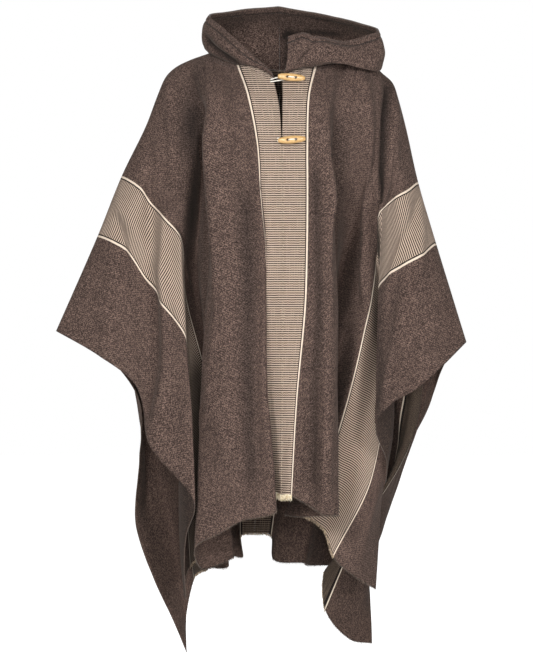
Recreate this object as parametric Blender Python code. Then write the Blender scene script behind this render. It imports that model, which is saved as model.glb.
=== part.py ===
"""A hooded Andean poncho, hollow as it is worn: two woven halves with a neck slit, a hood in two
halves that lies open behind the neck, two toggles with cord loops, and fringes at the band ends.

Metres, +Z up, the front faces -Y. The origin is where the shoulders carry the cloth, at the base of
the neck. Right and left are the wearer's: the right half lies at -X.

A thread is one warp thread, which runs from the front hem over the shoulder to the back hem. Each
table row is a thread, named by its distance from the centre seam, and each column is a line across
the cloth, such as a fold's edge or the hem. The cells are (x, y, z) in millimetres.
"""

import bisect
import math

import bmesh
import bpy
from mathutils import Vector
from mathutils.bvhtree import BVHTree

MM = 0.001

CLOTH = 1.8 * MM  # the wall of the woven cloth
SLIT_HALF = (9.0, 3.0, 0.0)  # mm, half of the neck slit's width at its first stations
SEAM_GAP = 0.3 * MM  # between two pieces that are sewn together
HALF_WIDTH = 0.790  # centre seam to selvedge
NECK_HALF = 0.137  # centre seam to the side of the neck hole
BAND_HALF = 0.065  # half of the centre band
SIDE_BAND = (0.455, 0.585)  # inner and outer thread of each side band
THREAD_STEP = 0.037  # widest space between the threads that the solid is built on

TOGGLE_LENGTH = 0.054
TOGGLE_RADIUS = 0.0058
HOLE_RADIUS = 0.0017
HOLE_OFFSET = 0.008  # from the toggle's middle to each sewing hole
CORD_RADIUS = 0.0011
STITCH_RISE = 0.0033  # from the toggle's face to the middle of the cord that crosses it
LOOP_RADIUS = 0.0012
CORD_GAP = 0.0003  # between a cord and what it touches
SEAT_GAP = 0.0008  # between a cord and the cloth that it is sewn to
LOOP_SPREAD = 0.0042  # half the space between the loop's two strands

STRIP_HEIGHT = 0.003  # the strip that a fringe's locks grow from
STRIP_WALL = 0.0014
EDGE_GAP = 0.0006  # between the strip and the cloth's edge
END_GAP = 0.0015  # from the strip's ends to the band's edges
LOCK_LENGTH = 0.011
LOCK_TAPER = 0.45
LOCKS_PER_BAND = 8

COLOURS = {
    "cloth": (0.150, 0.118, 0.105),
    "hood": (0.135, 0.106, 0.095),
    "toggle": (0.700, 0.430, 0.160),
    "cord": (0.800, 0.780, 0.720),
    "fringe": (0.720, 0.610, 0.440),
}

# Where each thread of the right half passes over the shoulder and the arm.
RIDGE_RIGHT = (
    (0.137, (-142, 0, 38)),
    (0.180, (-181, 0, 24)),
    (0.214, (-210, 0, 9)),
    (0.240, (-229, 0, -10)),
    (0.280, (-245, 0, -46)),
    (0.348, (-269, 0, -109)),
    (0.455, (-317, 0, -208)),
    (0.585, (-366, 0, -330)),
    (0.790, (-448, -4, -518)),
)
RIDGE_LEFT = (
    (0.137, (142, 0, 38)),
    (0.180, (178, 0, 22)),
    (0.217, (205, 0, -2)),
    (0.250, (226, 0, -22)),
    (0.282, (237, 0, -53)),
    (0.345, (253, 0, -114)),
    (0.455, (277, 0, -221)),
    (0.585, (314, 0, -347)),
    (0.790, (373, -4, -540)),
)
# The neck hole's edge, front and back, from the centre to the side of the neck.
NECK_FRONT_RIGHT = (
    (0.000, (-5, -97, -20)),
    (0.030, (-44, -84, 2)),
    (0.065, (-86, -62, 8)),
    (0.100, (-116, -32, 22)),
    (0.137, (-142, 0, 38)),
)
NECK_FRONT_LEFT = (
    (0.000, (-5, -97, -20)),
    (0.030, (28, -90, -4)),
    (0.065, (72, -70, 4)),
    (0.100, (112, -36, 20)),
    (0.137, (142, 0, 38)),
)
NECK_BACK_RIGHT = (
    (0.000, (0, 86, 12)),
    (0.065, (-66, 76, 18)),
    (0.100, (-104, 51, 30)),
    (0.137, (-142, 0, 38)),
)
NECK_BACK_LEFT = (
    (0.000, (0, 86, 12)),
    (0.065, (66, 76, 18)),
    (0.100, (104, 51, 30)),
    (0.137, (142, 0, 38)),
)

# Front of the right half. The sleeve part hangs before the arm, laps over at the fold's edge and
# runs back under it, in a deep trough beside the body's front.
# thread  wrap  sleeve  lap  edge  under  thigh  hem
FRONT_RIGHT = (
    (0.000, (1, -132, -80), (3, -147, -156), (5, -154, -256), (5, -157, -356),
     (5, -157, -476), (4, -152, -646), (2, -140, -838)),
    (0.065, (-64, -125, -60), (-46, -146, -156), (-40, -150, -256), (-32, -151, -356),
     (-36, -146, -476), (-33, -134, -646), (-18, -112, -834)),
    (0.095, (-88, -122, -60), (-66, -146, -152), (-50, -156, -256), (-38, -160, -356),
     (-33, -167, -476), (-31, -172, -646), (-7, -160, -868)),
    (0.180, (-142, -100, -66), (-141, -122, -156), (-131, -132, -256), (-120, -142, -356),
     (-108, -148, -476), (-97, -148, -646), (-74, -158, -886)),
    (0.240, (-176, -62, -72), (-156, -84, -124), (-152, -34, -200), (-150, -76, -320),
     (-150, -106, -440), (-149, -116, -646), (-116, -148, -910)),
    (0.290, (-206, -48, -102), (-170, -76, -156), (-160, -8, -236), (-162, -16, -360),
     (-156, -50, -476), (-158, -94, -680), (-166, -122, -940)),
    (0.345, (-232, -45, -142), (-190, -66, -206), (-176, -50, -262), (-172, -6, -380),
     (-150, -14, -500), (-134, -56, -690), (-156, -90, -984)),
    (0.400, (-260, -45, -182), (-222, -50, -244), (-194, -78, -284), (-186, -20, -390),
     (-158, 8, -500), (-118, -18, -690), (-118, -80, -976)),
    (0.455, (-278, -46, -232), (-250, -50, -270), (-222, -68, -298), (-194, -88, -340),
     (-188, 2, -450), (-140, 10, -640), (-92, -58, -964)),
    (0.520, (-302, -47, -292), (-260, -55, -344), (-224, -82, -388), (-190, -98, -440),
     (-190, 4, -552), (-166, 12, -720), (-136, -22, -958)),
    (0.585, (-306, -49, -360), (-262, -57, -424), (-222, -92, -476), (-184, -110, -538),
     (-194, -6, -656), (-190, 0, -806), (-180, -4, -988)),
    (0.690, (-336, -50, -464), (-272, -60, -536), (-222, -102, -604), (-172, -132, -686),
     (-196, -52, -780), (-200, -26, -906), (-190, -28, -1038)),
    (0.790, (-352, -46, -572), (-284, -58, -630), (-256, -98, -744), (-168, -136, -850),
     (-184, -108, -920), (-188, -88, -985), (-186, -64, -1046)),
)
# Front of the left half. One more soft fold stands beside the centre band, and the sleeve part's
# edge lies close over the body's front.
FRONT_LEFT = (
    (0.000, (1, -132, -80), (3, -147, -156), (5, -154, -256), (5, -157, -356),
     (5, -157, -476), (4, -152, -646), (2, -140, -838)),
    (0.065, (57, -128, -62), (54, -147, -156), (54, -155, -256), (53, -158, -356),
     (49, -160, -476), (33, -160, -646), (22, -156, -838)),
    (0.100, (84, -120, -66), (84, -140, -156), (85, -152, -256), (83, -158, -356),
     (80, -162, -476), (66, -158, -646), (52, -140, -856)),
    (0.145, (116, -106, -72), (106, -118, -160), (104, -128, -262), (106, -138, -356),
     (110, -144, -476), (104, -160, -646), (84, -166, -874)),
    (0.185, (144, -86, -72), (128, -92, -162), (114, -92, -262), (110, -100, -356),
     (110, -106, -476), (112, -122, -646), (114, -142, -876)),
    (0.235, (182, -62, -68), (156, -78, -168), (130, -58, -262), (116, -50, -356),
     (109, -56, -476), (104, -84, -646), (88, -106, -880)),
    (0.300, (216, -44, -92), (184, -64, -176), (158, -40, -266), (128, 4, -370),
     (104, -6, -490), (70, -34, -660), (42, -84, -884)),
    (0.380, (236, -42, -166), (214, -54, -212), (198, -74, -250), (178, -60, -330),
     (136, -46, -480), (94, 12, -680), (10, -30, -884)),
    (0.455, (252, -42, -238), (228, -54, -252), (210, -74, -268), (198, -88, -286),
     (181, -76, -440), (120, -50, -700), (48, -6, -888)),
    (0.520, (264, -44, -306), (236, -56, -324), (212, -80, -342), (196, -104, -358),
     (206, -24, -500), (156, -36, -750), (88, -22, -914)),
    (0.585, (280, -46, -370), (244, -58, -390), (214, -86, -411), (192, -106, -438),
     (216, -20, -570), (182, -46, -810), (106, -42, -966)),
    (0.690, (304, -48, -480), (250, -62, -520), (212, -94, -548), (188, -110, -584),
     (226, -28, -681), (180, -54, -890), (148, -28, -1006)),
    (0.790, (314, -46, -596), (268, -58, -634), (216, -88, -664), (186, -108, -706),
     (210, -62, -777), (203, -4, -866), (193, 20, -1037)),
)
# Backs. The cloth falls from the shoulder blades and behind each arm.
# thread  wrap  waist  hip  thigh  hem
BACK_RIGHT = (
    (0.000, (0, 116, -40), (-4, 132, -220), (-14, 142, -430), (-32, 138, -680), (-52, 122, -932)),
    (0.065, (-66, 110, -36), (-68, 132, -220), (-78, 146, -430), (-84, 142, -680), (-80, 128, -938)),
    (0.125, (-120, 97, -30), (-122, 126, -220), (-126, 140, -430), (-126, 160, -690), (-76, 164, -984)),
    (0.200, (-180, 72, -40), (-170, 104, -220), (-154, 98, -430), (-134, 104, -700), (-106, 112, -976)),
    (0.300, (-226, 52, -110), (-202, 50, -270), (-162, 46, -460), (-124, 44, -720), (-106, 52, -996)),
    (0.380, (-258, 50, -176), (-238, 82, -310), (-208, 86, -500), (-168, 98, -750), (-138, 112, -1002)),
    (0.455, (-286, 48, -240), (-264, 102, -370), (-240, 130, -550), (-196, 142, -780), (-148, 150, -1006)),
    (0.520, (-310, 48, -302), (-282, 88, -430), (-262, 98, -600), (-224, 108, -824), (-170, 100, -1012)),
    (0.585, (-332, 46, -364), (-296, 78, -490), (-248, 60, -650), (-196, 54, -850), (-176, 62, -1022)),
    (0.690, (-356, 44, -478), (-306, 76, -580), (-270, 92, -720), (-234, 96, -872), (-190, 34, -1098)),
    (0.790, (-350, 40, -570), (-284, 48, -662), (-284, 36, -776), (-288, 22, -918), (-187, -14, -1158)),
)
BACK_LEFT = (
    (0.000, (0, 116, -40), (-4, 132, -220), (-14, 142, -430), (-32, 138, -680), (-52, 122, -932)),
    (0.065, (66, 110, -36), (60, 132, -220), (48, 142, -430), (18, 128, -690), (-16, 116, -938)),
    (0.120, (118, 98, -30), (112, 130, -220), (94, 128, -430), (48, 98, -700), (-12, 92, -984)),
    (0.200, (180, 72, -40), (174, 104, -220), (146, 88, -440), (92, 56, -710), (46, 62, -988)),
    (0.250, (204, 60, -60), (188, 76, -266), (164, 48, -500), (116, 90, -770), (60, 102, -996)),
    (0.300, (224, 50, -110), (204, 56, -330), (170, 72, -590), (130, 144, -830), (88, 146, -1000)),
    (0.380, (246, 48, -180), (230, 90, -400), (206, 126, -640), (190, 160, -860), (130, 168, -1002)),
    (0.455, (266, 46, -266), (264, 78, -470), (250, 82, -690), (212, 114, -870), (118, 120, -1004)),
    (0.520, (288, 46, -326), (284, 64, -530), (256, 60, -730), (178, 76, -890), (92, 84, -1008)),
    (0.585, (306, 48, -396), (300, 66, -580), (262, 66, -750), (154, 56, -936), (92, 54, -1082)),
    (0.690, (330, 50, -496), (292, 84, -640), (254, 128, -780), (204, 134, -940), (140, 84, -1144)),
    (0.790, (336, 44, -580), (302, 134, -682), (240, 192, -806), (190, 192, -966), (188, 110, -1157)),
)
FRONT_STEPS = (3, 2, 3, 3, 4, 4, 4)  # rings of faces between one column and the next
BACK_STEPS = (4, 4, 4, 5, 5)

# The hood. Each row stands on one place of the neck hole's edge: 0 is the slit, 1 the side of the
# neck and 2 the centre back.
# place  roll  bag  crown  rim
HOOD_RIGHT = (
    (0.00, (-17, -101, -12), (-23, -102, -6), (-29, -99, 1), (-36, -92, 8)),
    (0.47, (-93, -70, 17), (-95, -76, 28), (-90, -77, 40), (-79, -72, 50)),
    (0.73, (-128, -36, 32), (-134, -38, 50), (-128, -37, 70), (-112, -32, 84)),
    (1.00, (-152, 2, 48), (-157, 10, 70), (-154, 18, 97), (-142, 22, 117)),
    (1.27, (-132, 68, 42), (-146, 92, 50), (-138, 86, 100), (-110, 60, 127)),
    (1.53, (-92, 110, 24), (-104, 148, 20), (-92, 148, 92), (-68, 96, 139)),
    (2.00, (0, 146, -4), (0, 198, -20), (0, 190, 90), (-3, 122, 147)),
)
HOOD_LEFT = (
    (0.00, (9, -104, -8), (13, -108, 12), (15, -104, 38), (15, -96, 60)),
    (0.22, (34, -100, -2), (40, -108, 14), (42, -106, 42), (42, -92, 67)),
    (0.47, (76, -92, 6), (84, -104, 12), (84, -100, 38), (80, -84, 60)),
    (0.73, (126, -58, 20), (142, -82, 8), (139, -74, 40), (128, -62, 57)),
    (1.00, (174, -20, 38), (207, -32, 14), (207, -26, 52), (195, -16, 81)),
    (1.27, (146, 44, 52), (186, 56, 42), (186, 50, 76), (164, 32, 101)),
    (1.53, (104, 100, 34), (130, 138, 26), (120, 128, 92), (108, 84, 122)),
    (2.00, (0, 146, -4), (0, 198, -20), (0, 190, 90), (-3, 122, 147)),
)
HOOD_STEPS = (2, 3, 4, 3)

# Each toggle's middle, the way it points, and where the ends of its loop leave the cloth.
# name  middle  along  loop
TOGGLES = (
    ("upper", (22, -117, -22), (27, 3, -2), (-19, -108, -27)),
    ("lower", (22, -157, -147), (27, 1, 2), (-6, -149, -146)),
)


def point(cell):
    return Vector(cell) * MM


def smooth(places, points, place):
    """A point on the smooth curve through points, which it passes at these places."""
    k = min(max(bisect.bisect_right(places, place) - 1, 0), len(places) - 2)
    width = places[k + 1] - places[k]
    t = (place - places[k]) / width
    slopes = []
    for i in (k, k + 1):
        before, after = max(i - 1, 0), min(i + 1, len(places) - 1)
        slopes.append((points[after] - points[before]) / (places[after] - places[before]))
    a, b = points[k], points[k + 1]
    return (
        a * (2 * t**3 - 3 * t**2 + 1)
        + slopes[0] * width * (t**3 - 2 * t**2 + t)
        + b * (3 * t**2 - 2 * t**3)
        + slopes[1] * width * (t**3 - t**2)
    )


def column(table, index, place):
    """Where a table's column crosses the thread at this place."""
    return smooth([row[0] for row in table], [point(row[index]) for row in table], place)


def stepped(stations, steps, before=None):
    """Points along a curve through the stations, with so many steps from each to the next."""
    lead = [before] if before is not None else []
    through = lead + stations
    places = [0.0]
    for a, b in zip(through, through[1:]):
        places.append(places[-1] + (b - a).length)
    first = len(lead)
    points = [stations[0].copy()]
    for k, count in enumerate(steps):
        start, end = places[first + k], places[first + k + 1]
        points += [smooth(places, through, start + (end - start) * i / count) for i in range(1, count + 1)]
    return points


class Half:
    """One woven half: its tables, and the side of the wearer that it hangs on."""

    def __init__(self, side, ridge, neck_front, neck_back, front, back):
        self.side = side  # -1 for the right half, at -X
        self.ridge = ridge
        self.neck = {"front": neck_front, "back": neck_back}
        self.panel = {"front": front, "back": back}

    def top(self, face, thread):
        table = self.ridge if thread >= NECK_HALF else self.neck[face]
        return column(table, 1, thread)

    def stations(self, face, thread):
        table = self.panel[face]
        return [self.top(face, thread)] + [column(table, c, thread) for c in range(1, len(table[0]))]

    def points(self, face, thread):
        """Points down one thread, from the neck or the shoulder to the hem."""
        other = "back" if face == "front" else "front"
        steps = FRONT_STEPS if face == "front" else BACK_STEPS
        before = self.stations(other, thread)[1] if thread >= NECK_HALF else None
        found = stepped(self.stations(face, thread), steps, before)
        if thread == 0:
            for k, p in enumerate(found):
                opening = opening_after(k, steps) if face == "front" else 0
                p.x += self.side * (opening + SEAM_GAP / 2)
        return found


def opening_after(count, steps):
    """Half the neck slit's width, this many steps below the neck."""
    for station, (a, b) in enumerate(zip(SLIT_HALF, SLIT_HALF[1:])):
        if count <= steps[station]:
            return (a + (b - a) * count / steps[station]) * MM
        count -= steps[station]
    return 0


RIGHT = Half(-1, RIDGE_RIGHT, NECK_FRONT_RIGHT, NECK_BACK_RIGHT, FRONT_RIGHT, BACK_RIGHT)
LEFT = Half(1, RIDGE_LEFT, NECK_FRONT_LEFT, NECK_BACK_LEFT, FRONT_LEFT, BACK_LEFT)


def threads():
    """The threads that the solids are built on: the bands' edges, and even steps between them."""
    marks = (0.0, BAND_HALF, NECK_HALF, 0.24, 0.34, *SIDE_BAND, 0.69, HALF_WIDTH)
    found = [0.0]
    for a, b in zip(marks, marks[1:]):
        count = math.ceil((b - a) / THREAD_STEP)
        found += [a + (b - a) * i / count for i in range(1, count + 1)]
    return found


def sheet(columns):
    """A bmesh grid on these columns of points, and the column and row of each vertex."""
    bm = bmesh.new()
    across, along = len(columns), len(columns[0])
    bmesh.ops.create_grid(bm, x_segments=across - 1, y_segments=along - 1, size=0.5)
    cell = {}
    for vertex in bm.verts:
        i = round((vertex.co.x + 0.5) * (across - 1))
        j = round((vertex.co.y + 0.5) * (along - 1))
        vertex.co = columns[i][j]
        cell[vertex] = (i, j)
    return bm, cell


def walled(bm, shifts):
    """Gives an open sheet its wall: a copy of it, with each vertex moved by its shift."""
    home = bm.verts.layers.int.new("home")
    for k, vertex in enumerate(bm.verts):
        vertex[home] = k
    made = bmesh.ops.extrude_face_region(bm, geom=list(bm.faces), use_keep_orig=True)
    for vertex in (item for item in made["geom"] if isinstance(item, bmesh.types.BMVert)):
        vertex.co += shifts[vertex[home]]
    bmesh.ops.recalc_face_normals(bm, faces=list(bm.faces))


def thicken(bm, seam):
    """Gives the cloth its wall, inwards. At the seam's vertices the wall has no slope in x, so that
    two pieces can meet there."""
    bm.normal_update()
    shifts = []
    for vertex in bm.verts:
        away = vertex.normal.copy()
        if vertex in seam:
            away.x = 0
            away.normalize()
        shifts.append(-away * CLOTH)
    walled(bm, shifts)


def material(name):
    made = bpy.data.materials.get(name) or bpy.data.materials.new(name)
    made.use_nodes = True
    shader = made.node_tree.nodes["Principled BSDF"]
    shader.inputs["Base Color"].default_value = (*COLOURS[name], 1)
    shader.inputs["Roughness"].default_value = 0.45 if name == "toggle" else 0.95
    shader.inputs["Metallic"].default_value = 0
    return made


def node(name, bm, finish):
    """The bmesh as a scene object with its material."""
    mesh = bpy.data.meshes.new(name)
    bm.to_mesh(mesh)
    bm.free()
    mesh.shade_smooth()
    made = bpy.data.objects.new(name, mesh)
    made.data.materials.append(material(finish))
    bpy.context.scene.collection.objects.link(made)
    return made


def woven_half(name, half):
    """Front and back in one sheet that lies over the shoulder and the arm. The strip of faces
    between front and back is taken out at the neck, and merges to nothing elsewhere."""
    places = threads()
    columns = [half.points("front", place)[::-1] + half.points("back", place) for place in places]
    if half.side < 0:
        columns.reverse()
        places.reverse()
    bm, cell = sheet(columns)
    top = sum(FRONT_STEPS)  # the front's last row, at the neck or the shoulder
    hole = []
    for face in bm.faces:
        corners = [cell[vertex] for vertex in face.verts]
        inner = min(places[i] for i, _ in corners)
        if {j for _, j in corners} == {top, top + 1} and inner < NECK_HALF - MM:
            hole.append(face)
    seam = {vertex for vertex, (i, _) in cell.items() if places[i] == 0}
    bmesh.ops.delete(bm, geom=hole, context="FACES")
    bmesh.ops.remove_doubles(bm, verts=list(bm.verts), dist=0.01 * MM)
    thicken(bm, seam)
    return node(name, bm, "cloth")


def neck_place(half, place):
    """The neck hole's edge at this place, and the direction from the body up to it."""
    face, thread = ("front", place) if place <= 1 else ("back", 2 - place)
    top, below = half.points(face, thread * NECK_HALF * 0.99999)[:2]
    return top, (top - below).normalized()


def hood_half(name, half, table):
    """A bag that stands on the neck hole's edge and opens forward."""
    neck_threads = [thread for thread in threads() if thread <= NECK_HALF]
    front = [thread / NECK_HALF for thread in neck_threads]
    places = front + [2 - place for place in reversed(front[:-1])]
    columns = []
    for place in places:
        edge, up = neck_place(half, place)
        edge += up * SEAM_GAP + Vector((0, 0, SEAM_GAP))
        line = stepped([edge] + [column(table, c, place) for c in range(1, 5)], HOOD_STEPS)
        if place == 2:
            for p in line:
                p.x += half.side * SEAM_GAP / 2 - (edge.x if p is line[0] else 0)
            line[0].x = half.side * SEAM_GAP / 2
        columns.append(line)
    if half.side < 0:
        columns.reverse()
        places.reverse()
    bm, cell = sheet(columns)
    thicken(bm, {vertex for vertex, (i, _) in cell.items() if places[i] == 2})
    return node(name, bm, "hood")


def along(points, distance):
    """The point so far along a line of points, and the index of its segment."""
    for k, (a, b) in enumerate(zip(points, points[1:])):
        length = (b - a).length
        if distance <= length or k == len(points) - 2:
            return a.lerp(b, min(distance / length, 1)), k
        distance -= length


def fringe(name, half, face, first, last):
    """A strip just below a band's end, and the locks that grow from it."""
    places = [place for place in threads() if first <= place <= last]
    hems = [half.points(face, place)[-1] for place in places]
    above = [half.points(face, place)[-2] for place in places]
    count = 2 * LOCKS_PER_BAND - 1
    length = sum((b - a).length for a, b in zip(hems, hems[1:]))
    turn = half.side if face == "front" else -half.side
    stations = []
    for k in range(count + 1):
        spot, segment = along(hems, END_GAP + (length - 2 * END_GAP) * k / count)
        down = (hems[segment] - above[segment]).normalized()
        across = (hems[segment + 1] - hems[segment]).normalized()
        stations.append((spot, down, across.cross(down).normalized() * turn))
    columns = []
    for spot, down, inward in stations:
        start = spot + inward * (CLOTH - STRIP_WALL) / 2 + down * EDGE_GAP
        columns.append([start, start + down * STRIP_HEIGHT])
    bm, cell = sheet(columns)
    walled(bm, [stations[cell[vertex][0]][2] * STRIP_WALL for vertex in bm.verts])
    for k in range(0, count, 2):
        _, down, inward = stations[k]
        middle = (columns[k][1] + columns[k + 1][1] + inward * STRIP_WALL) / 2
        floor = min(bm.faces, key=lambda f: (f.calc_center_median() - middle).length)
        grown = bmesh.ops.extrude_discrete_faces(bm, faces=[floor])["faces"][0]
        reach = LOCK_LENGTH * (0.75 + 0.25 * math.sin(2.4 * k))
        centre = grown.calc_center_median()
        for vertex in grown.verts:
            vertex.co = centre + (vertex.co - centre) * LOCK_TAPER + down * reach
    bmesh.ops.recalc_face_normals(bm, faces=list(bm.faces))
    return node(name, bm, "fringe")


def tube(bm, path, radius, sides):
    """A round bar along a path of points, whose sides stay square to it."""
    rings = []
    side = None
    for k, spot in enumerate(path):
        ahead = (path[min(k + 1, len(path) - 1)] - path[max(k - 1, 0)]).normalized()
        if side is None:
            side = ahead.orthogonal().normalized()
        side = (side - ahead * side.dot(ahead)).normalized()
        other = ahead.cross(side)
        girth = radius[k] if isinstance(radius, list) else radius
        turns = [2 * math.pi * n / sides for n in range(sides)]
        rings.append([bm.verts.new(spot + (side * math.cos(t) + other * math.sin(t)) * girth) for t in turns])
    for a, b in zip(rings, rings[1:]):
        for n in range(sides):
            m = (n + 1) % sides
            bm.faces.new((a[n], a[m], b[m], b[n]))
    bm.faces.new(rings[0][::-1])
    bm.faces.new(rings[-1])
    bmesh.ops.recalc_face_normals(bm, faces=list(bm.faces))


def toggle_frame(row):
    """A toggle's middle, its long direction, the way it faces, and up."""
    _, middle, reach, _ = row
    long = point(reach).normalized()
    out = Vector((0, -1, 0))
    up = long.cross(out).normalized()
    if up.z < 0:
        up = -up
    return point(middle), long, out, up


def toggle(row):
    """A bar that tapers to both ends, with two sewing holes."""
    middle, long, out, _ = toggle_frame(row)
    half = TOGGLE_LENGTH / 2
    shape = ((-1.0, 0.45), (-0.94, 0.66), (-0.55, 0.88), (0.0, 1.0), (0.55, 0.88), (0.94, 0.66), (1.0, 0.45))
    bm = bmesh.new()
    tube(bm, [middle + long * half * t for t, _ in shape], [TOGGLE_RADIUS * r for _, r in shape], 14)
    made = node("toggle_" + row[0], bm, "toggle")
    for n, side in enumerate((-1, 1)):
        hole = bmesh.new()
        spot = middle + long * HOLE_OFFSET * side
        tube(hole, [spot - out * 0.02, spot + out * 0.02], HOLE_RADIUS, 10)
        cutter = node("hole_%s_%d" % (row[0], n), hole, "toggle")
        cutter.hide_render = True
        cutter.hide_viewport = True
        cut = made.modifiers.new("hole_%d" % n, "BOOLEAN")
        cut.operation = "DIFFERENCE"
        cut.solver = "EXACT"
        cut.object = cutter
    return made


def rounded(corners, turns=3):
    """A path with each corner cut to a short arc."""
    path = [corners[0]]
    for a, b, c in zip(corners, corners[1:], corners[2:]):
        reach = min((b - a).length, (c - b).length) * 0.42
        start, end = b + (a - b).normalized() * reach, b + (c - b).normalized() * reach
        for k in range(turns + 1):
            t = k / turns
            path.append(start * (1 - t) ** 2 + b * 2 * t * (1 - t) + end * t**2)
    path.append(corners[-1])
    return path


def seated(body, spot, lift):
    """The point in front of the body's cloth, at this spot's x and z and this far off."""
    mesh = body.data
    tree = BVHTree.FromPolygons([v.co for v in mesh.vertices], [p.vertices for p in mesh.polygons])
    hit = tree.ray_cast(Vector((spot.x, spot.y - 0.1, spot.z)), Vector((0, 1, 0)))[0]
    return hit - Vector((0, lift, 0))


def stitch(row, body):
    """The cord that holds a toggle: out through one hole and back through the other."""
    middle, long, out, _ = toggle_frame(row)
    front = TOGGLE_RADIUS + STITCH_RISE
    ends = [middle + long * HOLE_OFFSET * side for side in (-1, 1)]
    bm = bmesh.new()
    feet = [seated(body, end, SEAT_GAP) for end in ends]
    corners = [feet[0], ends[0] + out * front, ends[1] + out * front, feet[1]]
    tube(bm, rounded(corners), CORD_RADIUS, 6)
    return node("stitch_" + row[0], bm, "cord")


def loop(row, body):
    """The cord loop, sewn to the other side of the slit, that passes behind the toggle."""
    middle, long, out, up = toggle_frame(row)
    behind = middle - out * (TOGGLE_RADIUS + LOOP_RADIUS + CORD_GAP)
    lift = LOOP_RADIUS + SEAT_GAP
    far = HOLE_OFFSET + CORD_RADIUS + LOOP_RADIUS + CORD_GAP * 2
    wide = LOOP_SPREAD
    corners = [
        seated(body, point(row[3]) + up * wide * 0.6, lift),
        behind - long * far + up * wide,
        behind + long * far + up * wide,
        behind + long * far - up * wide,
        behind - long * far - up * wide,
        seated(body, point(row[3]) - up * wide * 0.6, lift),
    ]
    bm = bmesh.new()
    tube(bm, rounded(corners), LOOP_RADIUS, 6)
    return node("loop_" + row[0], bm, "cord")


BAND_ENDS = (
    ("fringe_front_centre_right", RIGHT, "front", 0.0, BAND_HALF),
    ("fringe_front_centre_left", LEFT, "front", 0.0, BAND_HALF),
    ("fringe_back_centre_right", RIGHT, "back", 0.0, BAND_HALF),
    ("fringe_back_centre_left", LEFT, "back", 0.0, BAND_HALF),
    ("fringe_front_right", RIGHT, "front", *SIDE_BAND),
    ("fringe_front_left", LEFT, "front", *SIDE_BAND),
    ("fringe_back_right", RIGHT, "back", *SIDE_BAND),
    ("fringe_back_left", LEFT, "back", *SIDE_BAND),
)


def main():
    for old in list(bpy.data.objects):
        bpy.data.objects.remove(old)
    right_body = woven_half("body_right_half", RIGHT)
    left_body = woven_half("body_left_half", LEFT)
    hood_half("hood_right", RIGHT, HOOD_RIGHT)
    hood_half("hood_left", LEFT, HOOD_LEFT)
    for row in TOGGLES:
        toggle(row)
        stitch(row, left_body)
        loop(row, right_body)
    for name, half, face, first, last in BAND_ENDS:
        fringe(name, half, face, first, last)


main()
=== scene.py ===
"""The looks of the hooded poncho: fine cloth over the two woven halves and the hood, its weave and
stripes, seams, frayed hems and fringes, turned wooden toggles and cotton cords.

Metres, +Z up, the front faces -Y. Right and left are the wearer's: the right half lies at -X. The
tables of threads are those of the solids: a row is a warp thread, named by its distance from the
centre seam, a column is a line across the cloth, and the cells are (x, y, z) in millimetres.
"""
import bisect
import math
import random

import bmesh
import bpy
import numpy as np
from mathutils import Matrix, Vector, noise
from mathutils.bvhtree import BVHTree


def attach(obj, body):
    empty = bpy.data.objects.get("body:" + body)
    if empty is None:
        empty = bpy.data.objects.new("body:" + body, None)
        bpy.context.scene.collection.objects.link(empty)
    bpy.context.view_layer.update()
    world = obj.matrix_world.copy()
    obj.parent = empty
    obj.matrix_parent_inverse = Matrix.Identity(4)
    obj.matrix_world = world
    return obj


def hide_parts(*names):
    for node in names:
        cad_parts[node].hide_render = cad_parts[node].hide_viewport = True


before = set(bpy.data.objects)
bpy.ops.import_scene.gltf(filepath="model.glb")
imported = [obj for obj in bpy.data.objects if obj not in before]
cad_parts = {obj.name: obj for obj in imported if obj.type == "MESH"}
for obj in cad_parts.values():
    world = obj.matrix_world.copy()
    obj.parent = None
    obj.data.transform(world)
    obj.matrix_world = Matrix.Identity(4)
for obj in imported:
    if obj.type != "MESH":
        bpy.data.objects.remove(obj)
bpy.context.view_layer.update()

MM = 0.001

WALL = 1.6 * MM  # the woven cloth's thickness
SLIT_HALF = (9.0, 3.0, 0.0)  # mm, half of the neck slit's width at its stations
SLIT_SPREAD = 0.034  # how far from the slit its opening still pulls the threads
SLIT_END_Z = -0.158  # the neck slit is open above this height
SEAM_GAP = 0.06 * MM  # between two pieces that are sewn together
HALF_WIDTH = 0.790  # centre seam to selvedge
NECK_HALF = 0.137  # centre seam to the side of the neck hole
BAND_HALF = 0.065  # half of each striped band
SIDE_BAND = (0.455, 0.585)  # inner and outer thread of each side band
LEVEL_WITHIN = 0.2  # inside this thread the weft lines are level, and less even
COLUMN_STEP = 0.0054  # widest space between the fine cloth's columns
RIM_HEM = 0.014  # depth of the hood's folded hem
RIM_EDGE = 0.004  # and of the stitches along its rim
NEAR = 1e-6  # metres, nearer than which two places are the same

TOGGLE_LENGTH = 0.054
TOGGLE_RADIUS = 0.0078
TOGGLE_BULGE = 0.0020  # how much fuller than its solid the turned bar is
HOLE_RADIUS = 0.0030
HOLE_OFFSET = 0.0078  # from the toggle's middle to each sewing hole
CORD_RADIUS = 0.0011
CORD_INSET = 0.0017  # the sewing cord lies against the inner side of each hole
LOOP_RADIUS = 0.0012
CORD_GAP = 0.0003
SEAT_GAP = 0.0004
LOOP_SPREAD = 0.0042  # half the space between the loop's two strands
CORD_TWIST = (5 * MM, 5.5 * MM)  # the length of one turn, in the sewing cord and in the loop

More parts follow.
